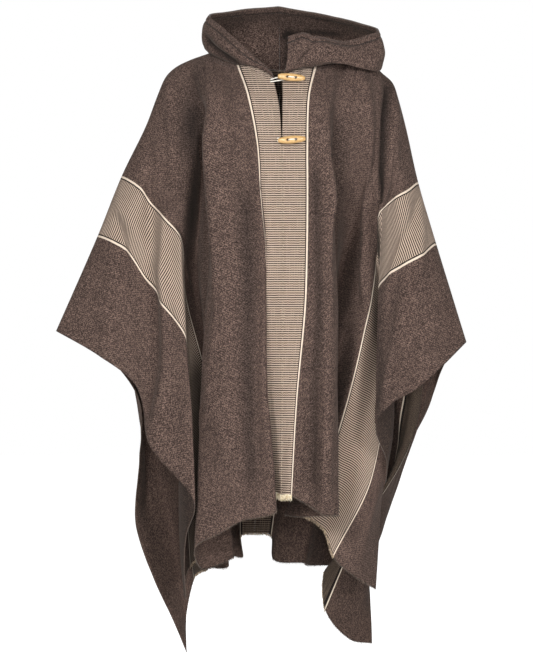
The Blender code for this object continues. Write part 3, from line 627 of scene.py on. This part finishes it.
def crease_field(table, across, down, end=CREASE_END, bow=CREASE_BOW, reach_of=1):
    """How far each spot is moved out by a table of creases, in metres."""
    total = np.zeros_like(across)
    for *ends, depth, width in table:
        u0, v0, u1, v1 = (x / 1000 for x in ends)
        u0, u1 = u0 / reach_of, u1 / reach_of
        reach = math.hypot(u1 - u0, v1 - v0)
        ahead = ((u1 - u0) / reach, (v1 - v0) / reach)
        t = (across - u0) * ahead[0] + (down - v0) * ahead[1]
        off = (across - u0) * ahead[1] - (down - v0) * ahead[0]
        off = off + bow * reach * np.sin(np.clip(t / reach, 0, 1) * math.pi)
        past = np.maximum(np.maximum(-t, t - reach), 0)
        total += depth * MM * np.exp(-((off / (width * MM)) ** 2)) * np.exp(-((past / end) ** 2))
    return total


def darkness(field):
    """A field of painted shades, in per cent, as the share of the colour darkened for the light that is lost.
    """
    return np.clip(field / (100 * MM), 0, 0.9)


class Sheet:
    """An open sheet on columns of points, from the centre out, as a bmesh grid. The right half's are
    turned round, so that its faces look outward."""

    def __init__(self, half, seam_at, places, flat, columns, *others):
        if half.side < 0:
            for line in (places, flat, columns, *others):
                line.reverse()
        self.columns = columns
        self.bm = bm = bmesh.new()
        bm.verts.layers.int.new("home")
        # Each vertex's painted fold shade, which the cloth materials read.
        bm.verts.layers.float.new("fold")
        wide, high = len(columns) - 1, len(columns[0]) - 1
        bmesh.ops.create_grid(bm, x_segments=wide, y_segments=high, size=0.5)
        self.cell = {}
        for vertex in bm.verts:
            i, j = round((vertex.co.x + 0.5) * wide), round((vertex.co.y + 0.5) * high)
            vertex.co = columns[i][j]
            self.cell[vertex] = (i, j)
        bm.normal_update()
        cells = self.cell.items()
        self.seam = {vertex for vertex, (i, _) in cells if places[i] == seam_at}
        self.across = np.array([places[i] for _, (i, _) in cells])
        self.along = np.array([flat[i][j] for _, (i, j) in cells])

    def displace(self, shift, calm, ridge, deep, *waves):
        """Moves each vertex along its normal, and writes the painted shade of the fold that it lies in. The
        calm stops the shift and the waves of noise (height, size, seed), but not the ridge."""
        fold = self.bm.verts.layers.float["fold"]
        for vertex, *row in zip(self.cell, shift, calm, ridge, deep):
            out, share, rise, vertex[fold] = map(float, row)
            for height, size, seed in waves:
                seeds = Vector((seed, 2.3 * seed, 0.7 * seed))
                out += height * noise.noise(vertex.co / size + seeds)
            away = vertex.normal.copy()
            if vertex in self.seam:
                away.x = 0
            vertex.co += away * (out * share + rise)

    def net(self):
        """The sheet's points and normals, by column and row."""
        self.bm.normal_update()
        net = [[None] * len(line) for line in self.columns]
        for vertex, (i, j) in self.cell.items():
            net[i][j] = (vertex.co.copy(), vertex.normal.copy())
        return net

    def finish(self, name, finishes, deep, doubled):
        """Gives the sheet its wall, inwards, which stays upright along the seam, and the materials: 0
        out, 1 in, 2 edge. Deep is each inner vertex's painted shade, and doubled is how much more wall
        there is."""
        bm = self.bm
        bm.normal_update()
        deep, doubled = (dict(zip(self.cell, each.tolist())) for each in (deep, doubled))
        home, fold = bm.verts.layers.int["home"], bm.verts.layers.float["fold"]
        shifts, painted_shades = [], []
        for k, vertex in enumerate(bm.verts):
            away = vertex.normal.copy()
            if vertex in self.seam:
                away.x = 0
                away.normalize()
            vertex[home] = k
            shifts.append(-away * (WALL + doubled[vertex]))
            painted_shades.append(deep[vertex])
        outer = list(bm.faces)
        bmesh.ops.reverse_faces(bm, faces=outer)
        made = bmesh.ops.extrude_face_region(bm, geom=outer, use_keep_orig=True)["geom"]
        for vertex in (item for item in made if isinstance(item, bmesh.types.BMVert)):
            vertex.co += shifts[vertex[home]]
            vertex[fold] = painted_shades[vertex[home]]
        inner = [item for item in made if isinstance(item, bmesh.types.BMFace)]
        for index, faces in ((2, bm.faces), (0, outer), (1, inner)):
            for face in faces:
                face.material_index = index
        bmesh.ops.recalc_face_normals(bm, faces=list(bm.faces))
        return piece(name, bm, finishes)


def link(name, data):
    """A new object in the scene."""
    made = bpy.data.objects.new(name, data)
    bpy.context.scene.collection.objects.link(made)
    return made


def piece(name, bm, finishes):
    """The bmesh as a smooth scene object."""
    mesh = bpy.data.meshes.new(name)
    bm.to_mesh(mesh)
    bm.free()
    mesh.shade_smooth()
    for finish in finishes:
        mesh.materials.append(finish)
    return link(name, mesh)


def woven_half(half):
    """Front and back in one sheet that lies over the shoulder and the arm. The strip of faces
    between front and back is taken out at the neck, and merges to nothing elsewhere."""
    places = threads()
    columns, flat = [], []
    for place in places:
        front, back = half.points("front", place), half.points("back", place)
        columns.append(front[::-1] + back)
        flat.append(lengths(front)[::-1] + [-d for d in lengths(back)])
    # The threads that start at the neck hole are numbered level with the first whole one.
    front_count = sum(FRONT_ROWS) + 1
    level_at = (front_count - 1 - sum(FRONT_ROWS[:2]), front_count + BACK_ROWS[0])
    first_whole = next(k for k, place in enumerate(places) if place >= NECK_HALF)
    for line in flat[:first_whole]:
        slips = [flat[first_whole][k] - line[k] for k in level_at]
        line[:] = [d + slips[n >= front_count] for n, d in enumerate(line)]
    sheet = Sheet(half, 0, places, flat, columns)
    bm, cell, across, down = sheet.bm, sheet.cell, sheet.across, sheet.along
    is_front = np.array([j < front_count for _, j in cell.values()])
    front, back = (crease_field(half.creases[k], across, (1, -1)[k] * down) for k in (0, 1))
    # Painted shade where the front's folds are deep, on its face and on its reverse.
    dark, dark_inside = (
        darkness(crease_field(rows, across, down, bow=0)) * is_front for rows in (half.shades, SHADES_INSIDE)
    )
    sheet.displace(
        np.where(is_front, front, back),
        np.clip((across - 0.004) / 0.05, 0, 1) * np.clip(np.abs(down) / 0.03, 0, 1),
        np.zeros_like(down), dark, (1.1 * MM, 0.075, 3 * half.side), (0.5 * MM, 0.028, 7 * half.side),
    )
    weave, level = bm.loops.layers.uv.new("weave"), bm.loops.layers.uv.new("level")
    hole = []
    for face in bm.faces:
        for corner in face.loops:
            i, j = cell[corner.vert]
            corner[weave].uv = (places[i], flat[i][j])
            # The weft lines of the centre band meet across the seam, so they follow the height.
            corner[level].uv = (places[i], -corner.vert.co.z if places[i] < LEVEL_WITHIN else flat[i][j])
        cells = [cell[vertex] for vertex in face.verts]
        between = {j for _, j in cells} == {front_count - 1, front_count}
        if between and min(places[i] for i, _ in cells) < NECK_HALF - NEAR:
            hole.append(face)
    half.places, half.front_count, half.net = places, front_count, sheet.net()
    bmesh.ops.delete(bm, geom=hole, context="FACES")
    merged = bmesh.ops.find_doubles(bm, verts=list(bm.verts), dist=0.01 * MM)["targetmap"]
    sheet.seam = {merged.get(vertex, vertex) for vertex in sheet.seam}
    bmesh.ops.weld_verts(bm, targetmap=merged)
    name = "cloth_" + half.name + "_half"
    return sheet.finish(name, (CLOTH_OUT, CLOTH_IN, CLOTH_EDGE), dark_inside, np.zeros_like(down))


def hem_of(half, face):
    """The hem's points, and those a little above them."""
    return [[line[k][0] for line in half.net] for k in ((0, 2) if face == "front" else (-1, -3))]


def seam_of(half, face):
    """The points and normals of the centre seam, from the neck down."""
    line = half.net[half.places.index(0)]
    return line[half.front_count:] if face == "back" else line[:half.front_count][::-1]


def below_neck(half, face, rows):
    """The points and normals so many rows below the neck hole's edge, from the centre out."""
    k = half.front_count + rows if face == "back" else half.front_count - 1 - rows
    chosen = [(place, i) for i, place in enumerate(half.places) if place <= NECK_HALF + MM]
    return [half.net[i][k] for _, i in sorted(chosen)]


def hood_half(half):
    """A bag that stands on the neck hole's edge and opens forward, with a hem folded in at its rim."""
    marks = [thread / NECK_HALF for thread in threads() if thread <= NECK_HALF]
    marks += [2 - place for place in reversed(marks[:-1])]
    places = [marks[0]]
    for a, b in zip(marks, marks[1:]):
        places += [(a + b) / 2, b]
    columns, flat = [], []
    for place in places:
        edge, up = half.neck_place(place)
        edge += up * SEAM_GAP + Vector((0, 0, SEAM_GAP))
        line = stepped([edge] + [column(half.hood[0], c, place) for c in range(1, 5)], HOOD_ROWS)
        if place == 2:
            line[0].x = 0
            for p in line:
                p.x += half.side * SEAM_GAP / 2
        columns.append(line)
        flat.append(lengths(line))
    round_rim = lengths([line[-1] for line in columns])
    sheet = Sheet(half, 2, places, flat, columns, round_rim)
    cell, across, up_from_neck = sheet.cell, sheet.across, sheet.along
    to_rim = np.array([flat[i][-1] - flat[i][j] for i, j in cell.values()])
    # The hood's creases, and the painted shade of its deep folds.
    moved, dark = (
        crease_field(rows, across / HOOD_REACH, up_from_neck, 0.02, reach_of=HOOD_REACH)
        for rows in half.hood[1:]
    )
    hem = 1.4 * MM / (1 + np.exp((to_rim - RIM_HEM) / 0.0009))
    groove = -1.3 * MM * np.exp(-(((to_rim - RIM_HEM) / 0.0022) ** 2))
    # The flaps show their outside, and the back wall shows its inside, so each gets its painted fold shade on
    # that side.
    outside = across < 1.25
    sheet.displace(
        moved * np.minimum((2 - across) / 0.25, 1), np.clip(up_from_neck / 0.02, 0, 1), hem + groove,
        darkness(dark) * outside, (1.4 * MM, 0.05, 5), (0.6 * MM, 0.02, 9),
    )
    if half.side > 0:
        sag = np.exp(-((across - SAG_AT[0]) / 0.24) ** 2 - ((up_from_neck - SAG_AT[1]) / 0.040) ** 2)
        for vertex, share in zip(cell, sag.tolist()):
            vertex.co += Vector(SAG) * share
    weave = sheet.bm.loops.layers.uv.new("weave")
    for face in sheet.bm.faces:
        for corner in face.loops:
            i, j = cell[corner.vert]
            corner[weave].uv = (round_rim[i], flat[i][-1] - flat[i][j])
    net = sheet.net()
    half.hood_lines = [
        [min(zip(line, far), key=lambda each: abs(far[-1] - each[1] - goal))[0] for line, far in zip(net, flat)]
        for goal in (RIM_HEM, RIM_EDGE)
    ]
    half.hood_lines.append([line[2] for line in net])
    doubled = 2.2 * MM / (1 + np.exp(np.minimum((to_rim - RIM_HEM) / 0.0008, 60)))
    name = "hood_" + half.name + "_cloth"
    return sheet.finish(name, (HOOD_OUT, HOOD_IN, CLOTH_EDGE), darkness(dark) * ~outside, doubled)


def yarns(name, paths, radius, finish, sides=0, tapers=(1.0,)):
    """Thin round strands along paths of points, as one curve object."""
    data = bpy.data.curves.new(name, "CURVE")
    data.dimensions = "3D"
    data.bevel_depth = radius
    data.bevel_resolution = sides
    data.use_fill_caps = True
    for path in paths:
        spline = data.splines.new("POLY")
        spline.points.add(len(path) - 1)
        for k, p in enumerate(path):
            spline.points[k].co = (*p, 1)
            spline.points[k].radius = tapers[round(k * (len(tapers) - 1) / (len(path) - 1))]
    data.materials.append(finish)
    return link(name, data)


def resampled(points, step):
    """Points evenly along a line, each with the line's direction and vertex there."""
    far = lengths(points)
    count = max(2, round(far[-1] / step))
    found = []
    for n in range(count + 1):
        goal = far[-1] * n / count
        k = min(max(bisect.bisect_left(far, goal) - 1, 0), len(far) - 2)
        t = (goal - far[k]) / max(far[k + 1] - far[k], 1e-9)
        found.append((points[k].lerp(points[k + 1], min(t, 1)), (points[k + 1] - points[k]).normalized(), k))
    return found


def fray(half, face, draw):
    """Loose yarn ends along a hem."""
    edge, above = hem_of(half, face)
    paths = []
    for spot, ahead, k in resampled(edge, 1.3 * MM):
        down = (edge[k] - above[k]).normalized()
        inward = ahead.cross(down).normalized() * draw.uniform(-0.5, 0.5) * WALL
        lean = ahead * draw.uniform(-0.35, 0.35)
        reach = draw.uniform(1.8, 4.4) * MM
        paths.append([
            spot - down * 1.2 * MM + inward * 0.4,
            spot + inward + (down + lean * 0.4).normalized() * reach * 0.5,
            spot + inward + (down + lean).normalized() * reach,
        ])
    return paths


def band_fringe(half, face, first, last, shortest, longest, draw):
    """Combed yarns that hang from a band's end, in two rows."""
    edge, above = hem_of(half, face)
    chosen = [k for k, place in enumerate(half.places) if first - NEAR <= place <= last + NEAR]
    paths = []
    for spot, ahead, n in resampled([edge[k] for k in chosen], 1.35 * MM):
        k = chosen[min(n, len(chosen) - 1)]
        down = (edge[k] - above[k]).normalized()
        away = ahead.cross(down).normalized()
        for row in (0.2, 0.8):
            reach = draw.uniform(shortest, longest) * MM
            lean = ahead * draw.uniform(-0.16, 0.16) + away * draw.uniform(-0.10, 0.10)
            start = spot + away * WALL * (row - 0.5) - down * 1.5 * MM
            curl = ahead * draw.uniform(-0.9, 0.9) * MM + away * draw.uniform(-0.5, 0.5) * MM
            paths.append([
                start + (down + lean * t).normalized() * (reach * t) + curl * math.sin(t * 5)
                for t in (0, 0.25, 0.5, 0.75, 1)
            ])
    return paths


def stitches(line, height, step=5.2 * MM, length=3.6 * MM, slant=0.0):
    """Short stitches along a line of points and normals, each dipping into the cloth at its ends."""
    paths = []
    for spot, ahead, k in resampled([p for p, _ in line], step):
        out = line[k][1]
        reach = (ahead + out.cross(ahead).normalized() * slant).normalized() * length / 2
        paths.append([
            spot + reach * t + out * height * rise
            for t, rise in ((-1, -0.6), (-0.5, 0.7), (0, 1), (0.5, 0.7), (1, -0.6))
        ])
    return paths


def twisted(path, radius, lay, plies=3):
    """The plies of a cord along a path. One turn of the twist takes one lay."""
    fine = [spot for spot, _, _ in resampled(path, lay / 8)]
    found = [[] for _ in range(plies)]
    side = None
    for n, spot in enumerate(fine):
        ahead = (fine[min(n + 1, len(fine) - 1)] - fine[max(n - 1, 0)]).normalized()
        side = side or ahead.orthogonal().normalized()
        side = (side - ahead * side.dot(ahead)).normalized()
        for k, ply in enumerate(found):
            turn = 2 * math.pi * (n / 8 + k / plies)
            ply.append(spot + (side * math.cos(turn) + ahead.cross(side) * math.sin(turn)) * radius * 0.52)
    return found


def toggle_frame(row):
    """A toggle's middle, its long direction, the way it faces, and up."""
    _, middle, reach, _ = row
    long, out = Vector(reach).normalized(), Vector((0, -1, 0))
    up = long.cross(out).normalized()
    return Vector(middle) * MM + out * TOGGLE_BULGE, long, out, up if up.z > 0 else -up


# A toggle's outline from one tip to its middle: the place along half of it, and the radius's share.
TOGGLE_SHAPE = (
    (-1.0, 0.0), (-1.0, 0.20), (-0.990, 0.36), (-0.965, 0.47), (-0.92, 0.56), (-0.75, 0.72), (-0.50, 0.88),
    (-0.25, 0.97), (0.0, 1.0),
)


def toggle(row):
    """A turned bar that tapers to rounded ends, drilled with two sewing holes."""
    middle, long, out, _ = toggle_frame(row)
    half = TOGGLE_LENGTH / 2
    shape = TOGGLE_SHAPE + tuple((-t, r) for t, r in reversed(TOGGLE_SHAPE[:-1]))
    bm = bmesh.new()
    profile = [bm.verts.new(middle + long * half * t + out * TOGGLE_RADIUS * r) for t, r in shape]
    edges = [bm.edges.new(pair) for pair in zip(profile, profile[1:])]
    bmesh.ops.spin(
        bm, geom=profile + edges, cent=middle, axis=long, angle=2 * math.pi, steps=40, use_merge=True
    )
    bmesh.ops.remove_doubles(bm, verts=list(bm.verts), dist=0.01 * MM)
    bmesh.ops.recalc_face_normals(bm, faces=list(bm.faces))
    made = piece("wood_toggle_" + row[0], bm, (TOGGLE_WOOD,))
    for side in (-1, 1):
        turn = Vector((0, 0, 1)).rotation_difference(out).to_matrix().to_4x4()
        hole = bmesh.new()
        bmesh.ops.create_cone(
            hole, cap_ends=True, segments=24, radius1=HOLE_RADIUS, radius2=HOLE_RADIUS, depth=0.04,
            matrix=Matrix.Translation(middle + long * HOLE_OFFSET * side) @ turn,
        )
        cutter = piece("drill", hole, (TOGGLE_WOOD,))
        cut = made.modifiers.new("drill", "BOOLEAN")
        cut.operation = "DIFFERENCE"
        cut.solver = "EXACT"
        cut.object = cutter
        drilled = bpy.data.meshes.new_from_object(made.evaluated_get(bpy.context.evaluated_depsgraph_get()))
        made.modifiers.clear()
        made.data = drilled
        bpy.data.objects.remove(cutter)
    made.data.name = made.name
    return made


def rounded(corners, turns=5):
    """A path with each corner cut to a short arc."""
    path = [corners[0]]
    for a, b, c in zip(corners, corners[1:], corners[2:]):
        reach = min((b - a).length, (c - b).length) * 0.42
        start, end = b + (a - b).normalized() * reach, b + (c - b).normalized() * reach
        for k in range(turns + 1):
            t = k / turns
            path.append(start * (1 - t) ** 2 + b * 2 * t * (1 - t) + end * t**2)
    return path + [corners[-1]]


def surface_of(cloth):
    """A tree of the cloth's faces, to find points on it."""
    mesh = cloth.data
    return BVHTree.FromPolygons([v.co for v in mesh.vertices], [p.vertices for p in mesh.polygons])


def seated(tree, spot, lift):
    """The point in front of the cloth, at this spot's x and z and this far off."""
    hit = tree.ray_cast(Vector((spot.x, spot.y - 0.1, spot.z)), Vector((0, 1, 0)))[0]
    return hit - Vector((0, lift, 0))


def cord(name, corners, radius, lay):
    return yarns(name, twisted(rounded(corners), radius, lay), radius * 0.56, CORD_COTTON, 2)


def stitch(row, tree):
    """The cord that holds a toggle: out through one hole and back through the other."""
    middle, long, out, _ = toggle_frame(row)
    front = out * (TOGGLE_RADIUS + CORD_RADIUS * 0.4)
    ends = [middle + long * (HOLE_OFFSET - CORD_INSET) * side for side in (-1, 1)]
    feet = [seated(tree, end, SEAT_GAP) for end in ends]
    corners = [feet[0], ends[0] + front, ends[1] + front, feet[1]]
    return cord("cord_stitch_" + row[0], corners, CORD_RADIUS, CORD_TWIST[0])


def loop(row, tree):
    """The cord loop, sewn to the other side of the slit, that passes behind the toggle."""
    middle, long, out, up = toggle_frame(row)
    behind = middle - out * (TOGGLE_RADIUS + LOOP_RADIUS + CORD_GAP)
    far = long * (HOLE_OFFSET + CORD_RADIUS + LOOP_RADIUS + CORD_GAP * 2)
    wide = up * LOOP_SPREAD
    foot = Vector(row[3]) * MM
    feet = [seated(tree, foot + wide * side * 0.6, LOOP_RADIUS + SEAT_GAP) for side in (1, -1)]
    corners = [
        feet[0], behind - far + wide, behind + far + wide, behind + far - wide, behind - far - wide, feet[1]
    ]
    return cord("cord_loop_" + row[0], corners, LOOP_RADIUS, CORD_TWIST[1])


def settle(made, node=None):
    """Every piece rides on the root, and may stand for a solid, whose part it hides."""
    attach(made, "root")
    if node:
        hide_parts(node)
    return made


def sewn(name, paths, radius, finish):
    return settle(yarns(name, paths, radius, finish))


HALVES = (
    Half(
        "right", -1, ridge=RIDGE_RIGHT, neck=(NECK_FRONT_RIGHT, NECK_BACK_RIGHT),
        panel=(FRONT_RIGHT, BACK_RIGHT), creases=(CREASES_FRONT_RIGHT, CREASES_BACK_RIGHT),
        shades=SHADES_RIGHT, hood=(HOOD_RIGHT, CREASES_HOOD_RIGHT, SHADES_HOOD_RIGHT),
    ),
    Half(
        "left", 1, ridge=RIDGE_LEFT, neck=(NECK_FRONT_LEFT, NECK_BACK_LEFT),
        panel=(FRONT_LEFT, BACK_LEFT), creases=(CREASES_FRONT_LEFT, CREASES_BACK_LEFT),
        shades=SHADES_LEFT, hood=(HOOD_LEFT, CREASES_HOOD_LEFT, SHADES_HOOD_LEFT),
    ),
)
for half in HALVES:
    half.cloth = settle(woven_half(half), "body_%s_half" % half.name)
for half in HALVES:
    half.bag = settle(hood_half(half), "hood_" + half.name)

draw = random.Random(11)
for half in HALVES:
    half.trim = []
    for face in ("front", "back"):
        paths = fray(half, face, draw)
        made = yarns("fray_%s_%s" % (face, half.name), paths, 0.32 * MM, FRAY_YARN, 0, (1.0, 0.8, 0.35))
        half.trim.append(settle(made))
        for band, (first, last) in (("centre_", (0.0, BAND_HALF)), ("", SIDE_BAND)):
            pale = face == "front" and band
            paths = band_fringe(half, face, first, last, *((9, 14) if pale else (4, 8)), draw)
            name = "%s_%s%s" % (face, band, half.name)
            finish = FRINGE_YARN if pale else DULL_YARN
            made = yarns("yarns_" + name, paths, 0.7 * MM, finish, 1, (1.0, 0.95, 0.85, 0.7, 0.3))
            half.trim.append(settle(made, "fringe_" + name))

# Sewing: the two halves are joined edge to edge with slanted stitches, and the hood's hem and the
# neck seam are held by rows of running stitches.
for face in ("front", "back"):
    line = [(p, n) for p, n in seam_of(HALVES[0], face) if face == "back" or p.z < SLIT_END_Z]
    paths = stitches(line, 0.35 * MM, 6.5 * MM, 3.4 * MM, 0.8)
    HALVES[0].trim.append(sewn("seam_centre_" + face, paths, 0.42 * MM, CENTRE_YARN))
for half in HALVES:
    paths = [path for line in half.hood_lines for path in stitches(line, 0.25 * MM)]
    paths += stitches([(p - n * (WALL + 0.7 * MM), -n) for p, n in half.hood_lines[0]], 0.3 * MM)
    half.bag_trim = [sewn("stitches_hood_" + half.name, paths, 0.38 * MM, SEAM_YARN)]
    lines = [below_neck(half, face, below)[1:] for face in ("front", "back") for below in (1, 2)]
    paths = [path for line in lines for path in stitches(line, 0.25 * MM)]
    half.trim.append(sewn("stitches_neck_" + half.name, paths, 0.38 * MM, SEAM_YARN))

trees = [surface_of(half.cloth) for half in HALVES]
for row in TOGGLES:
    settle(toggle(row), "toggle_" + row[0])
    settle(stitch(row, trees[1]), "stitch_" + row[0])
    settle(loop(row, trees[0]), "loop_" + row[0])

FLOOR_Z = -1.46
STUDIO_HALF = 14.0
AMBIENT = 0.20
WHITE = colour("#ffffff")
CAMERA_AT = (-0.027, -5.0, -0.522)
# name  place  what it looks at  size  watts
LIGHTS = (
    ("left", (-1.4, -3.8, 0.9), (0, 0, -0.5), 0.7, 92),
    ("right", (2.1, -3.7, 0.3), (0.1, 0, -0.45), 0.7, 72),
    ("front", (0.0, -4.7, -0.3), (0, 0, -0.6), 0.6, 46),
    ("hood_fill", (0.0, -1.7, -0.42), (0, 0, -0.06), 0.4, 2.5),
    ("bounce", (0.0, -2.6, -1.38), (0, 0, -0.1), 1.2, 22),
    ("rear", (0.8, 3.6, 1.2), (0, 0, -0.5), 2.0, 70),
)


def seen_as_one(tree, otherwise):
    """1 to the camera's eye, and so much as a light on all else."""
    seen = add(tree, "LightPath", {}, "Is Camera Ray")
    return add(tree, "MapRange", {0: seen, 3: otherwise, 4: 1.0})


def lit_floor(name):
    """White acrylic on a light table: bright to the eye as far as its edge, and a softer fill."""
    made, shader = finish_of(name, {"Roughness": 0.9, "Base Color": colour("#b8b8b8"), "Emission Color": WHITE})
    tree = made.node_tree
    tree.links.new(seen_as_one(tree, 0.10), shader.inputs["Emission Strength"])
    return made


ground = bmesh.new()
bmesh.ops.create_grid(ground, x_segments=2, y_segments=2, size=STUDIO_HALF)
bmesh.ops.translate(ground, verts=list(ground.verts), vec=(0, 0, FLOOR_Z))
piece("studio_floor", ground, (lit_floor("acrylic_white_lit"),))

world = bpy.data.worlds.new("studio")
world.use_nodes = True
sky = world.node_tree.nodes["Background"]
sky.inputs[0].default_value = WHITE
world.node_tree.links.new(seen_as_one(world.node_tree, AMBIENT), sky.inputs[1])
bpy.context.scene.world = world

for name, place, aim, size, watts in LIGHTS:
    data = bpy.data.lights.new(name, "AREA")
    data.shape, data.size, data.energy = "SQUARE", size, watts
    light = link(name, data)
    light.location = place
    light.visible_camera = False
    light.rotation_euler = (Vector(aim) - Vector(place)).to_track_quat("-Z", "Y").to_euler()

lens = bpy.data.cameras.new("camera")
lens.lens = 135
lens.sensor_width = 36
lens.clip_end = 100
camera = link("camera", lens)
camera.location = CAMERA_AT
camera.rotation_euler = (math.pi / 2, 0, 0)
bpy.context.scene.camera = camera
bpy.context.scene.view_settings.view_transform = "Standard"
